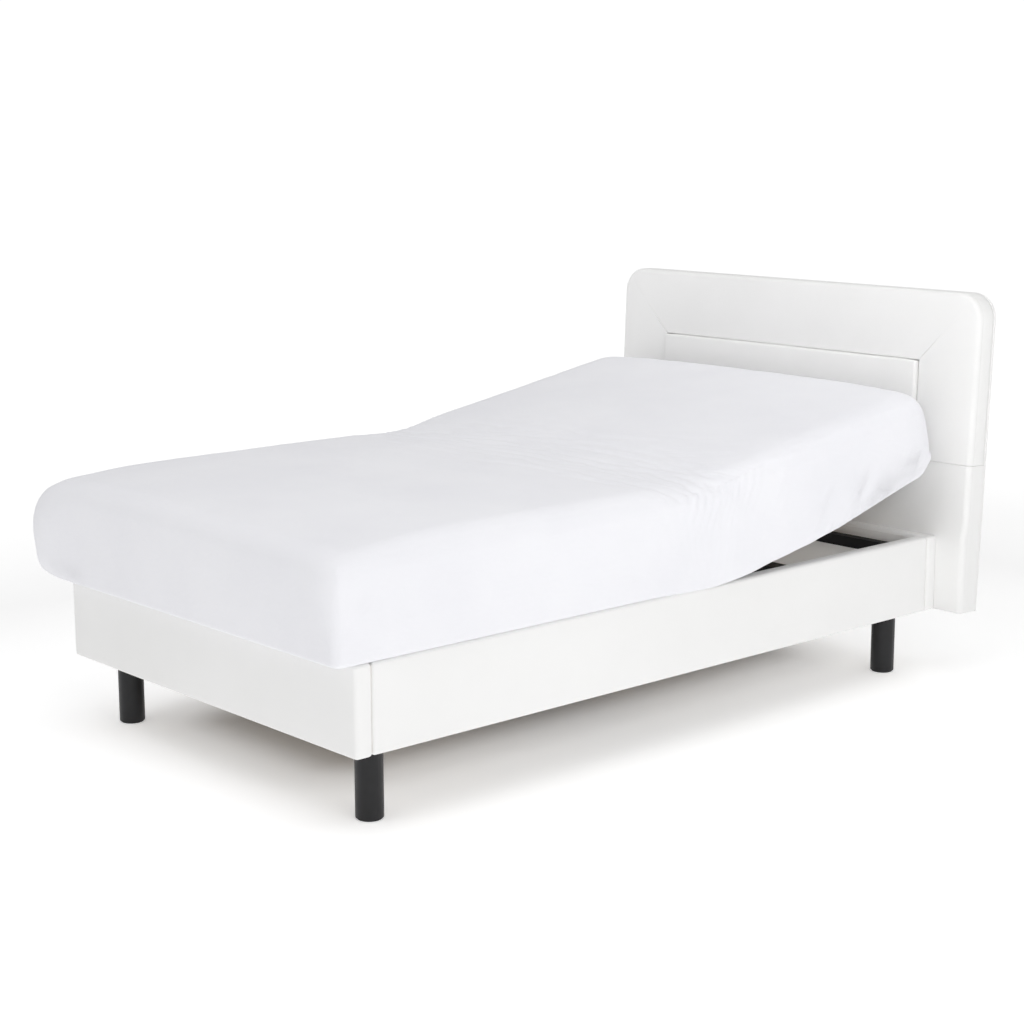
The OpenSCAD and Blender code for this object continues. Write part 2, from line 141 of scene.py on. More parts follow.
def ramp(nt, fac, stops):
    r = nt.nodes.new("ShaderNodeValToRGB")
    e = r.color_ramp.elements
    while len(e) < len(stops):
        e.new(0.5)
    for i, (p, c) in enumerate(stops):
        e[i].position = p
        e[i].color = (*c, 1) if len(c) == 3 else c
    nt.links.new(fac, r.inputs[0])
    return r.outputs[0]


def math_node(nt, op, a, b=None, c=None):
    n = nt.nodes.new("ShaderNodeMath")
    n.operation = op
    for i, v in enumerate((a, b, c)):
        if v is None:
            continue
        if isinstance(v, (int, float)):
            n.inputs[i].default_value = v
        else:
            nt.links.new(v, n.inputs[i])
    return n.outputs[0]


def bump(nt, height, strength, distance, normal=None):
    b = nt.nodes.new("ShaderNodeBump")
    b.inputs["Strength"].default_value = strength
    b.inputs["Distance"].default_value = distance
    nt.links.new(height, b.inputs["Height"])
    if normal is not None:
        nt.links.new(normal, b.inputs["Normal"])
    return b.outputs[0]


def leatherette(name, c1, c2):
    """Soft matte upholstery vinyl with a fine pebble grain."""
    m, nt, b = new_mat(name)
    v = coords(nt)
    big = noise_tex(nt, v, 2.3, 3, 0.5)
    nt.links.new(ramp(nt, big, [(0.3, c1), (0.7, c2)]), b.inputs["Base Color"])
    grain = nt.nodes.new("ShaderNodeTexVoronoi")
    grain.feature = "DISTANCE_TO_EDGE"
    grain.inputs["Scale"].default_value = 620
    nt.links.new(v, grain.inputs["Vector"])
    pore = ramp(nt, grain.outputs["Distance"], [(0.0, (0, 0, 0)), (0.25, (1, 1, 1))])
    fine = noise_tex(nt, v, 900, 3, 0.6)
    soft = noise_tex(nt, v, 26, 3, 0.55)
    n1 = bump(nt, soft, 0.16, 0.004)
    n2 = bump(nt, pore, 0.22, 0.0003, n1)
    n3 = bump(nt, fine, 0.12, 0.0002, n2)
    nt.links.new(n3, b.inputs["Normal"])
    rr = noise_tex(nt, v, 60, 4, 0.6)
    nt.links.new(ramp(nt, rr, [(0.25, (0.47,) * 3), (0.75, (0.6,) * 3)]), b.inputs["Roughness"])
    b.inputs["Specular IOR Level"].default_value = 0.35
    b.inputs["Sheen Weight"].default_value = 0.08
    b.inputs["Sheen Roughness"].default_value = 0.5
    return m


def cotton(name, c1, c2):
    """Fine white percale: a very small weave, light creasing and a soft sheen."""
    m, nt, b = new_mat(name)
    v = coords(nt)
    big = noise_tex(nt, v, 3.1, 3, 0.55)
    nt.links.new(ramp(nt, big, [(0.3, c1), (0.7, c2)]), b.inputs["Base Color"])
    wa = nt.nodes.new("ShaderNodeTexWave")
    wa.wave_type, wa.bands_direction = "BANDS", "X"
    wa.inputs["Scale"].default_value = 420
    wa.inputs["Distortion"].default_value = 0.6
    wa.inputs["Detail"].default_value = 1
    nt.links.new(v, wa.inputs["Vector"])
    wb = nt.nodes.new("ShaderNodeTexWave")
    wb.wave_type, wb.bands_direction = "BANDS", "DIAGONAL"
    wb.inputs["Scale"].default_value = 420
    wb.inputs["Distortion"].default_value = 0.6
    wb.inputs["Detail"].default_value = 1
    nt.links.new(coords(nt, (0.02, 1, 1)), wb.inputs["Vector"])
    weave = math_node(nt, "MULTIPLY", wa.outputs["Fac"], wb.outputs["Fac"])
    crease = noise_tex(nt, coords(nt, (1.0, 0.55, 1.3), (0, 0, 0.5)), 34, 5, 0.55, 1.4)
    slub = noise_tex(nt, coords(nt, (3, 0.4, 1)), 120, 3, 0.6)
    n1 = bump(nt, crease, 0.25, 0.004)
    n2 = bump(nt, slub, 0.1, 0.0006, n1)
    n3 = bump(nt, weave, 0.18, 0.00025, n2)
    nt.links.new(n3, b.inputs["Normal"])
    nt.links.new(ramp(nt, slub, [(0.2, (0.78,) * 3), (0.8, (0.9,) * 3)]), b.inputs["Roughness"])
    b.inputs["Specular IOR Level"].default_value = 0.2
    b.inputs["Sheen Weight"].default_value = 0.15
    b.inputs["Sheen Roughness"].default_value = 0.4
    return m


def powder(name, c1, c2, r1, r2, spec=0.5):
    """Powder-coated or satin painted metal: orange peel, dust and worn patches."""
    m, nt, b = new_mat(name)
    v = coords(nt)
    big = noise_tex(nt, v, 14, 5, 0.6)
    nt.links.new(ramp(nt, big, [(0.35, c1), (0.75, c2)]), b.inputs["Base Color"])
    peel = noise_tex(nt, v, 700, 2, 0.5)
    wave = noise_tex(nt, v, 120, 2, 0.5)
    n1 = bump(nt, wave, 0.06, 0.001)
    nt.links.new(bump(nt, peel, 0.15, 0.0003, n1), b.inputs["Normal"])
    nt.links.new(ramp(nt, noise_tex(nt, v, 45, 4, 0.65), [(0.3, (r1,) * 3), (0.7, (r2,) * 3)]), b.inputs["Roughness"])
    b.inputs["Specular IOR Level"].default_value = spec
    return m


def wood(name, light, dark, axis="X", ring=42.0, rough=(0.42, 0.6)):
    """Lengthwise grain along one axis, with pores and faint growth bands."""
    m, nt, b = new_mat(name)
    sc = {"X": (0.06, 1, 1), "Y": (1, 0.06, 1), "Z": (1, 1, 0.06)}[axis]
    v = coords(nt, sc)
    bands = noise_tex(nt, v, ring, 6, 0.6, 0.8)
    fib = noise_tex(nt, v, ring * 9, 3, 0.6)
    mix = math_node(nt, "MULTIPLY_ADD", fib, 0.3, math_node(nt, "MULTIPLY", bands, 0.7))
    mid = tuple((a + c) / 2 for a, c in zip(light, dark))
    nt.links.new(ramp(nt, mix, [(0.3, dark), (0.48, mid), (0.7, light)]), b.inputs["Base Color"])
    n1 = bump(nt, fib, 0.2, 0.0006)
    nt.links.new(n1, b.inputs["Normal"])
    nt.links.new(ramp(nt, bands, [(0.2, (rough[1],) * 3), (0.8, (rough[0],) * 3)]), b.inputs["Roughness"])
    return m


def metal(name, base, r1, r2):
    m, nt, b = new_mat(name)
    v = coords(nt)
    b.inputs["Metallic"].default_value = 1.0
    big = noise_tex(nt, v, 60, 4, 0.6)
    nt.links.new(ramp(nt, big, [(0.3, tuple(x * 0.82 for x in base)), (0.7, base)]), b.inputs["Base Color"])
    fine = noise_tex(nt, coords(nt, (1, 0.1, 1)), 500, 3, 0.6)
    nt.links.new(bump(nt, fine, 0.08, 0.0002), b.inputs["Normal"])
    nt.links.new(ramp(nt, big, [(0.3, (r2,) * 3), (0.7, (r1,) * 3)]), b.inputs["Roughness"])
    return m


def plastic(name, c1, c2, r1, r2):
    m, nt, b = new_mat(name)
    v = coords(nt)
    nt.links.new(ramp(nt, noise_tex(nt, v, 20, 3, 0.5), [(0.3, c1), (0.7, c2)]), b.inputs["Base Color"])
    spark = noise_tex(nt, v, 1300, 2, 0.5)
    nt.links.new(bump(nt, spark, 0.25, 0.0003), b.inputs["Normal"])
    nt.links.new(ramp(nt, noise_tex(nt, v, 70, 3, 0.6), [(0.3, (r1,) * 3), (0.7, (r2,) * 3)]), b.inputs["Roughness"])
    return m


M = {
    "upholstery": leatherette("white_upholstery", (0.86, 0.858, 0.85), (0.90, 0.898, 0.892)),
    "sheet": cotton("white_sheet", (0.85, 0.85, 0.885), (0.885, 0.885, 0.915)),
    "black_leg": powder("black_leg_paint", (0.007, 0.007, 0.008), (0.012, 0.012, 0.014), 0.34, 0.46, 0.38),
    "black_steel": powder("black_powder_coat", (0.006, 0.006, 0.008), (0.012, 0.012, 0.014), 0.5, 0.65, 0.25),
    "timber": wood("board_timber", (0.62, 0.46, 0.29), (0.42, 0.29, 0.17), "Y", 30.0, (0.6, 0.8)),
    "slat_wood": wood("birch_slat", (0.78, 0.62, 0.42), (0.58, 0.42, 0.25), "X", 60.0, (0.35, 0.5)),
    "matte_black_plastic": plastic("black_plastic", (0.02, 0.02, 0.022), (0.032, 0.032, 0.035), 0.5, 0.68),
    "actuator_plastic": plastic("actuator_housing", (0.025, 0.025, 0.028), (0.04, 0.04, 0.043), 0.4, 0.55),
    "motor": plastic("motor_housing", (0.05, 0.05, 0.055), (0.075, 0.075, 0.08), 0.45, 0.6),
    "zinc": metal("zinc_plate", (0.66, 0.67, 0.69), 0.25, 0.45),
    "rubber": plastic("roller_rubber", (0.018, 0.018, 0.02), (0.03, 0.03, 0.03), 0.6, 0.78),
    "ticking": cotton("mattress_ticking", (0.74, 0.74, 0.75), (0.8, 0.8, 0.81)),
}
slot_of = {s["node"]: s["material_slot"] for s in frame["record"]["subparts"]}
for n, o in nodes.items():
    mat = M[slot_of[n]]
    o.data.materials.clear()
    o.data.materials.append(mat)


# ------------------------------------------------------------------ mesh helpers
def make(name, verts, faces, mats, face_mat=None, shade=True):
    me = bpy.data.meshes.new(name)
    me.from_pydata(np.asarray(verts, float).tolist(), [], [list(map(int, f)) for f in faces])
    for m in mats:
        me.materials.append(m)
    if face_mat is not None:
        me.polygons.foreach_set("material_index", np.asarray(face_mat, np.int32))
    if shade:
        me.polygons.foreach_set("use_smooth", np.ones(len(me.polygons), bool))
    me.update()
    o = bpy.data.objects.new(name, me)
    scene.collection.objects.link(o)
    return o


def lattice(X, Y, Z):
    """Points and quads of the surface of a box grid, and each point's index in X, Y, Z."""
    nx, ny, nz = len(X), len(Y), len(Z)
    I, J, K = np.meshgrid(np.arange(nx), np.arange(ny), np.arange(nz), indexing="ij")
    on = (I == 0) | (I == nx - 1) | (J == 0) | (J == ny - 1) | (K == 0) | (K == nz - 1)
    idx = np.full((nx, ny, nz), -1, int)
    idx[on] = np.arange(on.sum())
    ijk = np.stack([I[on], J[on], K[on]], 1)
    P = np.stack([np.asarray(X)[ijk[:, 0]], np.asarray(Y)[ijk[:, 1]], np.asarray(Z)[ijk[:, 2]]], 1)
    quads = []

    def q(a, flip):
        f = np.stack([a[:-1, :-1], a[1:, :-1], a[1:, 1:], a[:-1, 1:]], -1).reshape(-1, 4)
        quads.append(f[:, ::-1] if flip else f)
    q(idx[:, :, -1], False)
    q(idx[:, :, 0], True)
    q(idx[-1, :, :], False)
    q(idx[0, :, :], True)
    q(idx[:, -1, :], True)
    q(idx[:, 0, :], False)
    return P, np.concatenate(quads), ijk


def steps(lo, hi, r, nr, step, extra=()):
    """Grid lines from lo to hi: nr across each rounded edge of radius r, and about step apart between."""
    a = [lo + r * i / nr for i in range(nr)]
    b = [hi - r * i / nr for i in range(nr)]
    n = max(1, round((hi - lo - 2 * r) / step))
    c = [lo + r + (hi - lo - 2 * r) * i / n for i in range(n + 1)]
    out = sorted(set(round(x, 6) for x in [*a, *c, *b, *extra]))
    keep = [out[0]]
    for x in out[1:]:
        if x - keep[-1] > 1e-4:
            keep.append(x)
    return np.array(keep)


def round_box(P, lo, hi, r):
    lo, hi, r = np.array(lo, float), np.array(hi, float), np.array(r, float) * np.ones(3)
    q = np.clip(P, lo + r, hi - r)
    e = (P - q) / r
    m = np.abs(e).max(1)
    L = np.linalg.norm(e, axis=1)
    k = np.where(L > 1e-9, m / np.maximum(L, 1e-9), 0)
    return q + r * e * k[:, None]


def soft_box(name, lo, hi, r, step, mat, puff=0.002, nr=4, waves=0.0006, seed=1, face=None, grooves=()):
    """A padded, upholstered board: rounded edges, faces a little crowned, faint hand-pulled waviness."""
    lo, hi = np.array(lo, float), np.array(hi, float)
    ax = [steps(lo[i], hi[i], min(r, (hi[i] - lo[i]) / 2 - 1e-4), nr, step) for i in range(3)]
    P, F, ijk = lattice(*ax)
    rr = [min(r, (hi[i] - lo[i]) / 2 - 1e-4) for i in range(3)]
    V = round_box(P, lo, hi, rr)
    c, h = (lo + hi) / 2, (hi - lo) / 2
    u = np.abs((P - c) / h)
    for i in range(3):
        j, k = [a for a in range(3) if a != i]
        fall = np.ones(len(P))
        for a in (j, k):
            d = h[a] - np.abs(P[:, a] - c[a])           # distance from the face's edge
            fall = fall * smooth(0, min(0.06, h[a]), d)
        on = (np.abs(u[:, i] - 1) < 1e-6)
        s = np.sign(P[:, i] - c[i])
        w = noise3(P[:, 0] * 7, P[:, 1] * 7, P[:, 2] * 7, seed) * waves * fall
        V[:, i] += np.where(on, s * (puff * fall + w), 0)
    return make(name, V, F, [mat]), V


def sweep(name, rings, mat, shade=True):
    """Closed solid through rings (n, m, 3), each a closed loop, with caps."""
    rings = np.asarray(rings, float)
    n, m, _ = rings.shape
    idx = np.arange(n * m).reshape(n, m)
    nxt = np.roll(idx, -1, axis=1)
    F = np.stack([idx[:-1], nxt[:-1], nxt[1:], idx[1:]], -1).reshape(-1, 4).tolist()
    F.append(idx[0][::-1].tolist())
    F.append(idx[-1].tolist())
    return make(name, rings.reshape(-1, 3), F, [mat], shade=shade)


def outward(o):
    """Faces point out."""
    import bmesh
    bm = bmesh.new()
    bm.from_mesh(o.data)
    bmesh.ops.recalc_face_normals(bm, faces=bm.faces[:])
    bm.to_mesh(o.data)
    bm.free()
    o.data.update()


ROOT = "box_and_headboard"
UP = M["upholstery"]

# ------------------------------------------------------------------ upholstered box
X1, Y1, Z0, Z1 = 0.582, 1.000, 0.173, 0.380
FOOT_T, RAIL_T = 0.047, 0.040
gap = 0.0008


def cover(name, lo, hi, r, node, extra=(), lining=None, **kw):
    lo, hi = list(lo), list(hi)
    lo[1] += DY
    hi[1] += DY
    o, _ = soft_box(name, lo, hi, r, 0.016, UP, **kw)
    if lining:                                        # the cover is turned in and glued over the panel's inner face
        l, _ = soft_box(name + "_lining", (-0.5405, lining[0] + DY, Z0 + 0.006), (0.5405, lining[1] + DY, Z1 - 0.007), 0.0007, 0.03, UP, puff=0.0, nr=2, waves=0.0, seed=9)
        import bmesh
        bm = bmesh.new()
        bm.from_mesh(o.data)
        bm.from_mesh(l.data)
        bm.to_mesh(o.data)
        bm.free()
        bpy.data.objects.remove(l)
    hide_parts(node, *extra)
    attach(o, ROOT)
    return o


cover("foot_panel_cover", (-X1, -Y1, Z0), (X1, -Y1 + FOOT_T - gap, Z1), 0.009, "foot_cover", lining=(-0.9545, -0.9515), puff=0.0025, seed=3)
cover("head_panel_cover", (-X1, Y1 - RAIL_T + gap, Z0), (X1, Y1 - gap, Z1), 0.008, "head_cover", lining=(0.9585, 0.9620), puff=0.001, seed=4)
cover("side_rail_cover_right", (X1 - RAIL_T - 0.001, -Y1 + FOOT_T + gap, Z0 + 0.001), (X1 - 0.0015, Y1 - RAIL_T - gap, Z1 - 0.0005), 0.008,
      "side_cover_right", puff=0.0022, seed=5)
cover("side_rail_cover_left", (-X1 + 0.0015, -Y1 + FOOT_T + gap, Z0 + 0.001), (-X1 + RAIL_T + 0.001, Y1 - RAIL_T - gap, Z1 - 0.0005), 0.008,
      "side_cover_left", puff=0.0022, seed=6)

# ------------------------------------------------------------------ headboard
HX, HZ1, HR = 0.667, 1.042, 0.070
PX, PZ0, PZ1 = 0.474, 0.580, 0.850
HY0, HY1, HYB = 1.000 + DY, 1.066 + DY, 1.080 + DY
LEAN = math.radians(2.5)
LEANED = (Matrix.Translation((0, HY0, Z0)) @ Matrix.Rotation(-LEAN, 4, "X") @ Matrix.Translation((0, -HY0, -Z0)))


def headboard_piece(o, node):
    """Leans the finished cover back with the headboard and puts it in its node's place."""
    o.data.transform(LEANED)
    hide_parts(node)
    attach(o, ROOT)


def pad_rings(inner, outer, normal, ends, R=0.015, rin=0.008, crown=0.0035, end_r=0.0022):
    """Rings of a headboard pad: from the inner edge over the front face, round the outer edge and along the side."""
    rings = []
    inner, outer, normal = (np.asarray(a, float) for a in (inner, outer, normal))
    # distance along the outer edge from each end
    d = np.concatenate([[0], np.cumsum(np.linalg.norm(np.diff(outer, axis=0), axis=1))])
    for i in range(len(inner)):
        I, O, n = inner[i], outer[i], normal[i]
        Of = O - n * R
        w = np.linalg.norm(Of - I)
        t = (Of - I) / w
        dip, mitre = 0.0, False
        for e, dist in ((ends[0], d[i]), (ends[1], d[-1] - d[i])):
            if e and dist < end_r:
                dip = max(dip, end_r * (1 - math.sqrt(max(0, 1 - (1 - dist / end_r) ** 2))))
                mitre = e == "mitre"
        pts = []
        full_dip = dip
        pts.append((I[0], HY0 + 0.030, I[1]))
        pts.append((I[0], HY0 + 0.022, I[1]))
        for k in range(5):                                    # soft inner edge
            a = math.pi / 2 * k / 4
            p = I + t * rin * (1 - math.cos(a))
            pts.append((p[0], HY0 + rin * (1 - math.sin(a)) + dip, p[1]))
        m = 26
        for k in range(1, m + 1):                             # crowned front face
            s = k / m
            if mitre:                                         # a mitred seam is drawn in at the panel and fades outward
                dip = full_dip * (0.10 + 0.90 * (1 - float(smooth(0.12, 0.50, s))))
            p = I + t * (rin + (w - rin) * s)
            pts.append((p[0], HY0 - crown * math.sin(math.pi * min(1, s)) ** 0.8 + dip, p[1]))
        for k in range(1, 9):                                 # round the outer edge
            a = math.pi / 2 * k / 8
            p = Of + n * R * math.sin(a)
            if dip:
                p = p - n * dip
            pts.append((p[0], HY0 + R * (1 - math.cos(a)) + dip * math.cos(a), p[1]))
        side = HY0 + R
        for k, (yy, off) in enumerate(((0.0016, 0), (0.003, -0.0008), (0.0045, 0), (0.014, 0.0008), (0.026, 0.0012), (0.038, 0.0008), (0.0485, 0), (0.0502, -0.002))):
            p = O + n * off - n * dip
            pts.append((p[0], side + yy, p[1]))
        p = O - n * 0.012
        pts.append((p[0], HY1, p[1]))
        pts.append((I[0], HY1, I[1]))
        rings.append(pts)
    return rings


def ends_dense(n, dense=6, span=0.012, L=1.0):
    """Fractions from 0 to 1 with extra lines near both ends."""
    f = span / L
    a = np.linspace(0, f, dense, endpoint=False)
    return np.concatenate([a, np.linspace(f, 1 - f, n), (1 - a)[::-1]])


def right_outer(s):
    """Point and outward normal s metres up the right outer edge from z = PZ0, over the corner."""
    up_len = HZ1 - HR - PZ0
    if s <= up_len:
        return (HX, PZ0 + s), (1.0, 0.0)
    a = min((s - up_len) / HR, math.pi / 2)
    return (HX - HR + HR * math.cos(a), HZ1 - HR + HR * math.sin(a)), (math.cos(a), math.sin(a))


MITRE = math.radians(48.3)
wing_len = HZ1 - HR - PZ0 + HR * MITRE
v = ends_dense(34, 5, 0.006, wing_len)
inner = [(PX + 0.001, PZ0 + 0.0002 + f * (PZ1 - PZ0)) for f in v]
on = [right_outer(max(0.0002, f * wing_len)) for f in v]
outer, normal = [p for p, _ in on], [n for _, n in on]
rings_r = np.array(pad_rings(inner, outer, normal, (True, "mitre")))
rings_l = rings_r * np.array([-1, 1, 1])
rest_a = math.pi / 2 - MITRE
top_half = HR * rest_a
top_len = 2 * top_half + 2 * (HX - HR)


def top_outer(s):
    if s < top_half:
        a = MITRE + s / HR
    elif s > top_len - top_half:
        a = math.pi / 2 + (s - (top_len - top_half)) / HR
        return (-(HX - HR) + HR * math.cos(a), HZ1 - HR + HR * math.sin(a)), (math.cos(a), math.sin(a))
    else:
        return (HX - HR - (s - top_half), HZ1), (0.0, 1.0)
    return (HX - HR + HR * math.cos(a), HZ1 - HR + HR * math.sin(a)), (math.cos(a), math.sin(a))


v = np.concatenate([ends_dense(4, 5, 0.006, top_len)[:6], np.linspace(0.02, 0.98, 90), ends_dense(4, 5, 0.006, top_len)[-6:]])
v = np.unique(np.round(np.concatenate([v, np.linspace(0, top_half / top_len, 9), 1 - np.linspace(0, top_half / top_len, 9)]), 6))
inner = [(PX + 0.0008 - f * 2 * (PX + 0.0008), PZ1 + 0.0006) for f in v]
on = [top_outer(f * top_len) for f in v]
rings_t = np.array(pad_rings(inner, [p for p, _ in on], [n for _, n in on], ("mitre", "mitre")))
for name, rings, node in (("headboard_wing_cover_right", rings_r, "headboard_wing_right"),
                          ("headboard_wing_cover_left", rings_l, "headboard_wing_left"),
                          ("headboard_top_cover", rings_t, "headboard_top_pad")):
    rings = rings.copy()
    flat = rings.reshape(-1, 3)
    front = flat[:, 1] < HY0 + 0.004
    flat[front, 1] += noise3(flat[front, 0] * 9, 0.3, flat[front, 2] * 9, 11) * 0.0007
    o = sweep(name, flat.reshape(rings.shape), UP)
    outward(o)
    headboard_piece(o, node)


def lower_pad():
    lo, hi = np.array([-HX, HY0, Z0]), np.array([HX, HY1, PZ0])
    ax = [steps(lo[0], hi[0], 0.015, 8, 0.016), steps(lo[1], hi[1], 0.015, 8, 0.01, extra=(HY0 + 0.0166, HY0 + 0.0180, HY0 + 0.0195)), steps(lo[2], hi[2], 0.006, 5, 0.014)]
    P, F, ijk = lattice(*ax)
    V = P.copy()
    # vertical edges, then the top seam and the lower edge
    R = 0.015
    for s in (-1, 1):
        q = s * (HX - R)
        m = s * P[:, 0] > HX - R
        a = (s * P[m, 0] - (HX - R)) / R
        b = np.clip((HY0 + R - P[m, 1]) / R, 0, None)
        mx = np.maximum(a, b)
        L = np.maximum(np.hypot(a, b), 1e-9)
        V[m, 0] = q + s * R * a / L * mx
        V[m, 1] = np.where(b > 0, HY0 + R - R * b / L * mx, P[m, 1])
    front = P[:, 1] <= HY0 + 1e-6
    fx = smooth(0, 0.08, HX - np.abs(P[:, 0])) * smooth(0, 0.05, P[:, 2] - Z0) * smooth(0, 0.03, hi[2] - P[:, 2])
    V[:, 1] -= np.where(front, 0.0035 * fx, 0)
    V[:, 1] += np.where(front, noise3(P[:, 0] * 6, 0.7, P[:, 2] * 6, 12) * 0.0008 * fx, 0)
    for edge, r in ((hi[2], 0.0022), (lo[2], 0.006)):          # rounded top seam and lower edge
        d = np.abs(P[:, 2] - edge)
        dip = np.where(d < r, r * (1 - np.sqrt(np.clip(1 - (1 - d / r) ** 2, 0, 1))), 0)
        n = np.zeros_like(V)
        n[:, 1] = np.where(P[:, 1] < HY0 + R * 0.7, 1, 0)
        n[:, 0] = np.where(np.abs(P[:, 0]) > HX - R * 0.7, -np.sign(P[:, 0]), 0)
        V += n * dip[:, None] * 0.7
    groove = (np.abs(np.abs(P[:, 0]) - HX) < 1e-6) & (np.abs(P[:, 1] - (HY0 + 0.0180)) < 1e-4)
    V[groove, 0] -= np.sign(V[groove, 0]) * 0.0008
    # where it meets the box the padding fills out to the upright head panel
    lean_y = (V[:, 2] - Z0) * math.tan(LEAN)
    V[:, 1] -= lean_y * (1 - smooth(0.370, 0.430, V[:, 2])) * (1 - smooth(HY0 + 0.004, HY0 + 0.03, V[:, 1]))
    o = make("headboard_lower_cover", V, F, [UP])
    outward(o)
    headboard_piece(o, "headboard_lower_pad")


lower_pad()
o, _ = soft_box("headboard_panel_cover", (-PX + 0.0008, HY0 - 0.012, PZ0 + 0.0008), (PX - 0.0008, HY0 + 0.030, PZ1 - 0.0008),
                0.0055, 0.014, UP, puff=0.0025, seed=8)
headboard_piece(o, "headboard_centre_pad")


def back_rings():
    """The back cover, with the outline of the headboard and soft edges."""
    path = [((HX, Z0 + 0.001), (1, 0))]
    for f in np.linspace(0.02, 1, 24):
        path.append(((HX, Z0 + f * (HZ1 - HR - Z0)), (1, 0)))
    for k in range(1, 13):
        a = math.pi / 2 * k / 12
        path.append(((HX - HR + HR * math.cos(a), HZ1 - HR + HR * math.sin(a)), (math.cos(a), math.sin(a))))
    half = [((p[0], p[1]), n) for p, n in path]
    full = half + [((-p[0], p[1]), (-n[0], n[1])) for p, n in half[::-1]]
    return full


full = back_rings()
prof = [(0.020, HY1 - 0.001), (0.004, HY1 - 0.0008), (0.0005, HY1 + 0.001), (0.0, HY1 + 0.004), (0.0015, HY1 + 0.009), (0.006, HYB - 0.002), (0.012, HYB - 0.0003), (0.05, HYB), (0.3, HYB + 0.0)]
loops = []
cz = 0.6
for off, y in prof:
    loop = []
    for (px, pz), (nx, nz) in full:
        if off <= 0.05:
            qx, qz = px - nx * off, pz - nz * off
            qz = max(qz, Z0 + min(off, 0.02))
        else:
            qx, qz = px * 0.3, cz + (pz - cz) * 0.3
        loop.append((qx, y, qz))
    loops.append(loop)
o = sweep("headboard_back_cover", np.array(loops), UP)
outward(o)
headboard_piece(o, "headboard_back_pad")

# ------------------------------------------------------------------ mattress in its fitted sheet
MX0, MX1, MY0, MY1, MZ0, MZ1 = -0.650, 0.585, -1.050, 0.998, 0.3812, 0.650
HIP, THIGH, KNEE = (0.100, 0.348), (-0.250, 0.348), (-0.550, 0.348)
TILT = math.radians(10)
HIP_ZONE, THIGH_ZONE, KNEE_ZONE = (-0.125, 0.325), (-0.125, -0.425), (-0.475, -0.725)
SPLIT_A, SPLIT_B = -0.125, -0.475


def mattress_flat():
    fine = [0.0035, 0.0035, 0.0035, 0.0045, 0.006, 0.008]

    def axis(lo, hi, step, extra=()):
        a = [lo]
        for f in fine:
            a.append(a[-1] + f)
        b = [hi]
        for f in fine:
            b.append(b[-1] - f)
        c = [a[-1]]
        while c[-1] < b[-1]:
            c.append(c[-1] + step(c[-1]))
        c = np.array(c)
        c = a[-1] + (c - a[-1]) * (b[-1] - a[-1]) / (c[-1] - a[-1])
        xs = np.array(sorted(a + list(c)[1:-1] + b))
        for e in extra:                           # move the nearest line onto each wanted value
            xs[int(np.argmin(np.abs(xs - e)))] = e
        return xs
    X = axis(MX0, MX1, lambda v: 0.010 if v < 0.30 else 0.0075)
    Y = axis(MY0, MY1, lambda v: 0.0105 if v < -0.16 else 0.0068, (SPLIT_A, SPLIT_B))
    Z = np.concatenate([MZ0 + np.array([0, 0.0035, 0.007, 0.0105, 0.014, 0.019]), np.linspace(MZ0 + 0.026, MZ1, 30)])
    P, F, ijk = lattice(X, Y, Z)
    rt, rb = 0.058, 0.007
    # round corners in plan, sharper at the hem
    rp = (0.022 + 0.034 * smooth(MZ0, MZ1, P[:, 2]))[:, None]
    lo, hi = np.array([MX0, MY0]), np.array([MX1, MY1])
    q = np.clip(P[:, :2], lo + rp, hi - rp)
    rp = rp[:, 0]
    d = P[:, :2] - q
    m = np.abs(d).max(1)
    L = np.linalg.norm(d, axis=1)
    n = np.where(L[:, None] > 1e-9, d / np.maximum(L, 1e-9)[:, None], 0)
    rho = np.minimum(m, rp)
    e = rp - rho
    top = P[:, 2] > (MZ0 + MZ1) / 2
    r = np.where(top, rt, rb)
    zc = np.where(top, MZ1 - rt, MZ0 + rb)
    a = np.clip((r - e) / r, 0, 1)
    b = np.clip(np.where(top, P[:, 2] - zc, zc - P[:, 2]) / r, 0, 1)
    mx = np.maximum(a, b)
    LL = np.maximum(np.hypot(a, b), 1e-9)
    corner = (a > 0) & (b > 0)
    a2 = np.where(corner, a / LL * mx, a)
    b2 = np.where(corner, b / LL * mx, b)
    inset = np.where(e < r, r * (1 - a2), e)
    V = P.copy()
    V[:, :2] = np.where((rho > 0)[:, None], q + n * (rp - inset)[:, None], P[:, :2])
    V[:, 2] = np.where(b > 0, zc + np.where(top, 1, -1) * r * b2, P[:, 2])
    return P, V, F, n, e


def bend_x(V, y, angle, pivot, zone, sign=1):
    w = smooth(0, 1, (y - zone[0]) / (zone[1] - zone[0]))
    a = angle * w * sign
    c, s = np.cos(a), np.sin(a)
    dy, dz = V[:, 1] - pivot[0], V[:, 2] - pivot[1]
    out = V.copy()
    out[:, 1] = pivot[0] + dy * c - dz * s
    out[:, 2] = pivot[1] + dy * s + dz * c
    return out


def edges_of(F):
    e = np.concatenate([F[:, [0, 1]], F[:, [1, 2]], F[:, [2, 3]], F[:, [3, 0]]])
    e.sort(axis=1)
    return np.unique(e, axis=0)


def blur(D, E, n, times):
    """Average a field over a mesh's edges a number of times."""
    i = np.concatenate([E[:, 0], E[:, 1]])
    j = np.concatenate([E[:, 1], E[:, 0]])
    cnt = np.bincount(i, minlength=n) + 1.0
    D = D.copy()
    for _ in range(times):
        for k in range(D.shape[1]):
            D[:, k] = (D[:, k] + np.bincount(i, weights=D[j, k], minlength=n)) / cnt
    return D


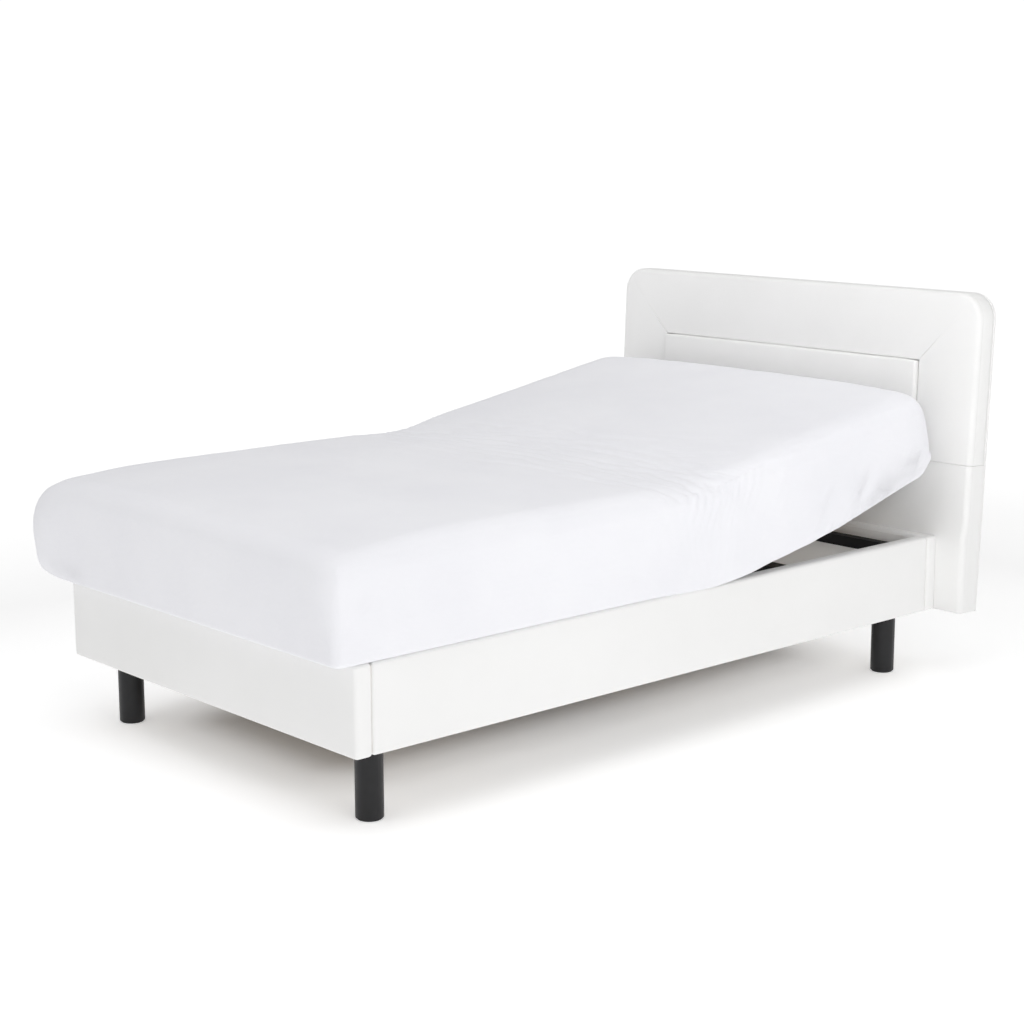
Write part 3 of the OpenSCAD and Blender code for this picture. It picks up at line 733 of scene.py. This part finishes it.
def point_normals(V, F):
    a, b, c, d = (V[F[:, k]] for k in range(4))
    fn = np.cross(c - a, d - b)
    N = np.zeros_like(V)
    for k in range(4):
        for ax in range(3):
            N[:, ax] += np.bincount(F[:, k], weights=fn[:, ax], minlength=len(V))
    return N / np.maximum(np.linalg.norm(N, axis=1), 1e-12)[:, None]


def drape(start, goal, F, pin, frames=11):
    """Bend the sheet from start to goal as cloth, softly held to the mattress, and return where its points settle."""
    me = bpy.data.meshes.new("drape")
    me.from_pydata(start.tolist(), [], F.tolist())
    o = bpy.data.objects.new("drape", me)
    scene.collection.objects.link(o)
    o.shape_key_add(name="Basis")
    k = o.shape_key_add(name="bent")
    k.data.foreach_set("co", goal.astype(np.float32).ravel())
    k.value = 0.0
    k.keyframe_insert("value", frame=1)
    k.value = 1.0
    k.keyframe_insert("value", frame=5)
    g = o.vertex_groups.new(name="pin")
    q = np.round(pin, 2)
    for v in np.unique(q):
        g.add(np.nonzero(q == v)[0].tolist(), float(v), "REPLACE")
    md = o.modifiers.new("cloth", "CLOTH")
    c = md.settings
    c.quality = 4
    c.mass = 0.15
    c.tension_stiffness = c.compression_stiffness = 15.0
    c.shear_stiffness = 5.0
    c.bending_stiffness = 0.35
    c.tension_damping = c.compression_damping = c.shear_damping = 5
    c.air_damping = 3
    c.effector_weights.gravity = 0
    c.vertex_group_mass = "pin"
    c.pin_stiffness = 1.0
    md.collision_settings.use_collision = False
    md.collision_settings.use_self_collision = False
    md.point_cache.frame_start = 1
    md.point_cache.frame_end = frames
    for f in range(1, frames + 1):
        scene.frame_set(f)
    ev = o.evaluated_get(bpy.context.evaluated_depsgraph_get()).to_mesh()
    out = np.empty(len(ev.vertices) * 3, np.float32)
    ev.vertices.foreach_get("co", out)
    scene.frame_set(1)
    act = me.shape_keys.animation_data.action
    bpy.data.objects.remove(o)
    bpy.data.meshes.remove(me)
    bpy.data.actions.remove(act)
    return out.reshape(-1, 3).astype(float)


P, V, F, N2, inward = mattress_flat()
x, s, z = P[:, 0], P[:, 1], P[:, 2]
h = (V[:, 2] - MZ0) / (MZ1 - MZ0)
xm, hw = (MX0 + MX1) / 2, (MX1 - MX0) / 2
u = (x - xm) / hw
on_side = ((x == x.min()) | (x == x.max()) | (s == s.min()) | (s == s.max()))
topw = smooth(0.5, 0.95, h)
# crown: lower towards the foot end and the edges
end_f = smooth(0, 0.35, s - MY0)
V[:, 2] -= topw * (0.016 * np.abs(u) ** 3 + 0.022 * (1 - end_f) * (0.4 + 0.6 * smooth(-0.7, 0.8, u)))
V[:, 2] += topw * 0.0016 * noise3(x * 3.1, s * 3.1, 0.2, 31)
# the sides belly out a little between the edges, and sit in faint vertical waves
belly = np.sin(np.pi * np.clip(h, 0, 1)) ** 0.8 * 0.007
along = np.where(np.abs(N2[:, 0]) > 0.7, s, x)
wave = noise3(along * 7.0, h * 1.2, np.sign(N2[:, 0]) * 3 + np.sign(N2[:, 1]) * 5, 33) * 0.0018 * np.sin(np.pi * np.clip(h, 0, 1))
round_edge = on_side | ((P[:, 2] == P[:, 2].max()) & (inward < 0.058))
# the far foot corner is the softest of the four: it swells outward and rounds under at the hem
soft = np.exp(-((x - MX0) / 0.17) ** 2 - ((s - MY0) / 0.17) ** 2)
swell = soft * 0.027 * np.sin(np.pi * np.clip(h, 0, 1))
V[:, 2] -= topw * soft * 0.005
V[:, :2] += N2 * np.where(round_edge, belly + wave + swell, 0)[:, None]
# the hem hangs a little below the raised part, and its edge is drawn into small scallops by the elastic
low = 1 - smooth(0.02, 0.32, h)
drop = np.interp(s, [-0.02, 0.25, 0.45, 0.60, 0.70, 0.80, 0.88, 0.94, MY1],
                 [0, -0.015, -0.014, -0.007, 0.004, 0.014, 0.022, 0.026, 0.030])
V[:, 2] += low * np.maximum(drop, 0) * smooth(0.78, 0.97, np.abs(u))
# where it hangs, only the outer skin does, outside the box, so that it still passes the rails when the deck is flat
V[:, 2] += low * np.minimum(drop, 0) * np.where(x > xm, smooth(0.5800, 0.5830, V[:, 0]), smooth(0.590, 0.615, -V[:, 0]))
V[:, 2] += low * 0.034 * smooth(MY1 - 0.075, MY1, s) ** 1.6
V[:, 2] += low * 0.010 * np.exp(-((x - MX0) / 0.05) ** 2 - ((s - MY0) / 0.05) ** 2)
scal = noise3(along * 21, 0.4, 0.1, 35) * 0.0014 + noise3(along * 55, 0.4, 0.1, 36) * 0.0007
near_hem = on_side * (1 - smooth(0.0, 0.16, h))
V[:, 2] += near_hem * np.clip(scal + 0.0012, 0, 0.004)
V[:, :2] += N2 * (near_hem * (scal * 0.8 + 0.0006))[:, None]
# underneath, away from the edges, the mattress bridges the two hinges where the deck folds upwards
under = (P[:, 2] == P[:, 2].min()) * (1 - smooth(hw - 0.034, hw - 0.012, np.abs(x - xm)))
V[:, 2] += under * (0.034 * np.exp(-((s - 0.105) / 0.15) ** 2) + 0.014 * np.exp(-((s + 0.275) / 0.11) ** 2))
# no hard shoulders where the rounded edges meet at the corners
shoulder = np.exp(-((hw - np.abs(x - xm)) / 0.11) ** 2 - (np.minimum(s - MY0, MY1 - s) / 0.11) ** 2) * smooth(0.05, 0.30, h)
V += (blur(V, edges_of(F), len(V), 40) - V) * shoulder[:, None]
flatV = V.copy()
V = bend_x(V, s, TILT, HIP, HIP_ZONE)
V[:, 1] += DY

shell = ~(P[F][:, :, 2] == z.min()).all(1)
used = np.unique(F[shell])
back_to = -np.ones(len(V), int)
back_to[used] = np.arange(len(used))
Fs = back_to[F[shell]]
start = bend_x(flatV, s, TILT * 0.80, HIP, HIP_ZONE)
start[:, 1] += DY
start[:, 2] += (h > 0.9) * (noise3(x * 30, s * 30, z * 30, 77) * 0.0005 + noise3(x * 12, s * 12, z * 12, 78) * 0.0008)
pin = np.where(h < 0.10, 1.0, np.where(h < 0.9, 0.25, 0.12))
got = drape(start[used], V[used], Fs, pin[used])
D = got - V[used]
E = edges_of(Fs)
D = D - blur(D, E, len(used), 60)               # keep the creases, not the drift of the whole sheet
D = blur(D, E, len(used), 1)
size = np.linalg.norm(D, axis=1)
D *= (np.minimum(size, 0.004) / np.maximum(size, 1e-9))[:, None]
D *= smooth(0.04, 0.12, h[used])[:, None]
V[used] += D * 0.8

# fine creases that the cloth grid is too coarse for, along the normals
N = point_normals(V, F)
fine = np.zeros(len(V))


def creases(a, b, angle, spacing, seed, sharp=1.6, wander=0.35):
    """Narrow wandering ridges in a plane (a, b), running at an angle from a; values from 0 to 1."""
    ca, sa = math.cos(math.radians(angle)), math.sin(math.radians(angle))
    lng, crs = a * ca + b * sa, -a * sa + b * ca
    ph = crs / spacing + wander * noise3(lng * 9, crs * 9, 0.5, seed) + 1.1 * noise3(lng * 3.5, crs * 5, 0.1, seed + 1)
    ridge = (0.5 + 0.5 * np.cos(2 * np.pi * ph)) ** sharp
    return ridge * np.clip(0.55 + 0.9 * noise3(lng * 11, crs * 30, 0.9, seed + 2), 0, 1)


for side in (-1, 1):
    on = on_side & (side * N2[:, 0] > 0.6)
    # diagonal creases up from the hem of the raised part
    m = smooth(0.42, 0.60, s) * (1 - smooth(0.90, 0.97, s)) * (1 - smooth(0.22, 0.62, h)) * smooth(0.0, 0.06, h)
    fine += np.where(on, m * 0.0105 * creases(s, z, 44, 0.0160, 41 + side, 1.0, 0.2), 0)
    # soft fan over the bend
    m = smooth(-0.10, 0.06, s) * (1 - smooth(0.30, 0.55, s)) * smooth(0.35, 0.8, h)
    fine += np.where(on, m * 0.0042 * creases(s, z, 62, 0.028, 51 + side), 0)
    # small puckers beside the corner seams at the foot
    m = np.exp(-((s - MY0 - 0.075) / 0.035) ** 2) * np.exp(-((h - 0.42) / 0.16) ** 2)
    fine += np.where(on, m * 0.0050 * creases(s, z, 28, 0.017, 57 + side), 0)
on = on_side & (N2[:, 1] < -0.6)
m = np.exp(-((x - MX0 - 0.16) / 0.09) ** 2) * np.exp(-((h - 0.12) / 0.12) ** 2)
fine += np.where(on, m * 0.0080 * creases(x, z, 118, 0.020, 61, 1.0, 0.2), 0)
# creases across the top where the mattress bends, fanning out from both long edges
edge = 1 - smooth(0.10, 0.55, hw - np.abs(x - xm))
tm = smooth(0.90, 0.99, h)
m = tm * smooth(-0.20, -0.02, s) * (1 - smooth(0.22, 0.42, s)) * (0.30 + 0.70 * edge)
fine += m * 0.0024 * np.where(x > xm, creases(x, s, 38, 0.019, 71), creases(x, s, -38, 0.019, 74))
m = tm * smooth(0.40, 0.60, s) * (1 - smooth(0.75, 0.9, s)) * np.exp(-((np.abs(x - xm) - 0.42) / 0.10) ** 2)
fine += m * 0.0009 * np.where(x > xm, creases(x, s, 30, 0.014, 81), creases(x, s, -30, 0.014, 84))
# the four sewn corners: a thin raised seam from the hem to the top, with the cloth drawn in beside it
for sx, cx in ((-1, MX0), (1, MX1)):
    for sy, cy in ((-1, MY0), (1, MY1)):
        t = ((x - cx) * -sx) - ((s - cy) * -sy)         # 0 on the corner's diagonal, metres along the lattice
        t = t + 0.016 * (1 - h)                         # drawn round towards the long side at the hem
        near = np.exp(-(t / 0.0080) ** 2) - 0.12 * np.exp(-(t / 0.024) ** 2)
        at = (np.abs(x - cx) < 0.06) & (np.abs(s - cy) < 0.06) & on_side
        up_ = smooth(0.0, 0.03, h) * (1 - smooth(0.80, 0.95, h))
        fine += np.where(at, near * up_ * 0.0014, 0)
V = V + N * fine[:, None]
N = point_normals(V, F)
mattress = (P, V, F)


def split_piece(name, keep):
    P, V, F = mattress
    fy = P[F][:, :, 1].mean(1)
    sel = keep(fy)
    f = F[sel]
    used = np.unique(f)
    remap = -np.ones(len(V), int)
    remap[used] = np.arange(len(used))
    bottom = (P[f][:, :, 2] == P[:, 2].min()).all(1)
    inner = (np.abs(P[f][:, :, 0].mean(1) - xm) < hw - 0.05) & (P[f][:, :, 1].mean(1) > MY0 + 0.05) & (P[f][:, :, 1].mean(1) < MY1 - 0.05)
    o = make(name, V[used], remap[f], [M["sheet"], M["ticking"]], (bottom & inner).astype(int))
    o.data.normals_split_custom_set_from_vertices(N[used].tolist())   # one smooth sheet over the joins
    return o


pa = split_piece("mattress_back_part", lambda y: y > SPLIT_A)
pb = split_piece("mattress_middle_part", lambda y: (y < SPLIT_A) & (y > SPLIT_B))
pc = split_piece("mattress_foot_part", lambda y: y < SPLIT_B)
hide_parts("mattress_back", "mattress_hip_fold", "mattress_seat")
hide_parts("mattress_thigh_fold", "mattress_thigh")
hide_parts("mattress_calf")
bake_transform(pa)
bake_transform(pb)
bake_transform(pc)

# ------------------------------------------------------------------ floor and light
fm, nt, b = new_mat("floor_paper_painted_glow")
nt.links.new(ramp(nt, noise_tex(nt, coords(nt), 1.5, 2, 0.5), [(0.3, (0.90, 0.90, 0.90)), (0.7, (0.92, 0.92, 0.92))]), b.inputs["Base Color"])
b.inputs["Roughness"].default_value = 0.9
b.inputs["Specular IOR Level"].default_value = 0.1
b.inputs["Emission Color"].default_value = (1, 1, 1, 1)
# painted light: the paper sweep glows by emission. There is none under the middle of the bed, which paints the bed's
# shadow darker, most just outside the bed's shadow as a painted pool of light, and a strong even glow far away so the
# far floor reads white
sep = nt.nodes.new("ShaderNodeSeparateXYZ")
nt.links.new(coords(nt), sep.inputs[0])
ax = math_node(nt, "MAXIMUM", math_node(nt, "SUBTRACT", math_node(nt, "ABSOLUTE", math_node(nt, "ADD", sep.outputs[0], 0.10)), 0.20), 0.0)
ay = math_node(nt, "MAXIMUM", math_node(nt, "SUBTRACT", math_node(nt, "ABSOLUTE", math_node(nt, "SUBTRACT", sep.outputs[1], 0.02)), 0.72), 0.0)
dist = math_node(nt, "SQRT", math_node(nt, "ADD", math_node(nt, "MULTIPLY", ax, ax), math_node(nt, "MULTIPLY", ay, ay)))
glow = ramp(nt, math_node(nt, "DIVIDE", dist, 5.0), [(0.0, (0.0,) * 3), (0.014, (0.08,) * 3), (0.034, (0.30,) * 3), (0.06, (0.42,) * 3), (0.12, (0.36,) * 3), (0.3, (0.28,) * 3), (0.8, (0.62,) * 3)])
nt.links.new(glow, b.inputs["Emission Strength"])
floor = make("floor", [(-60, -60, 0), (60, -60, 0), (60, 60, 0), (-60, 60, 0)], [(0, 1, 2, 3)], [fm], shade=False)

w = bpy.data.worlds.new("studio")
scene.world = w
w.use_nodes = True
wt = w.node_tree
for n in list(wt.nodes):
    wt.nodes.remove(n)
wo = wt.nodes.new("ShaderNodeOutputWorld")
bg = wt.nodes.new("ShaderNodeBackground")
lp = wt.nodes.new("ShaderNodeLightPath")
mr = wt.nodes.new("ShaderNodeMapRange")
mr.inputs["To Min"].default_value = 0.47
mr.inputs["To Max"].default_value = 1.05
wt.links.new(lp.outputs["Is Camera Ray"], mr.inputs["Value"])
wt.links.new(mr.outputs[0], bg.inputs["Strength"])
bg.inputs["Color"].default_value = (1, 1, 1, 1)
wt.links.new(bg.outputs[0], wo.inputs[0])


def area(name, loc, target, size, power, color=(1, 1, 1), spread=180):
    ld = bpy.data.lights.new(name, "AREA")
    ld.shape = "RECTANGLE"
    ld.size, ld.size_y = size
    ld.energy = power
    ld.spread = math.radians(spread)
    ld.color = color
    lo = bpy.data.objects.new(name, ld)
    scene.collection.objects.link(lo)
    lo.location = loc
    d = Vector(target) - Vector(loc)
    lo.rotation_euler = d.to_track_quat("-Z", "Y").to_euler()
    return lo


area("key", (4.4, -1.4, 2.0), (0, 0.1, 0.45), (2.6, 2.0), 40)
area("top", (0.5, -0.5, 4.2), (0, -0.2, 0.3), (4.5, 4.5), 70)
area("front", (-0.5, -5.5, 2.2), (0, 0, 0.5), (4, 2.5), 16)
area("headboard_fill", (2.5, -2.3, 1.3), (0.45, 1.05, 0.66), (0.6, 0.6), 0.4, spread=30)
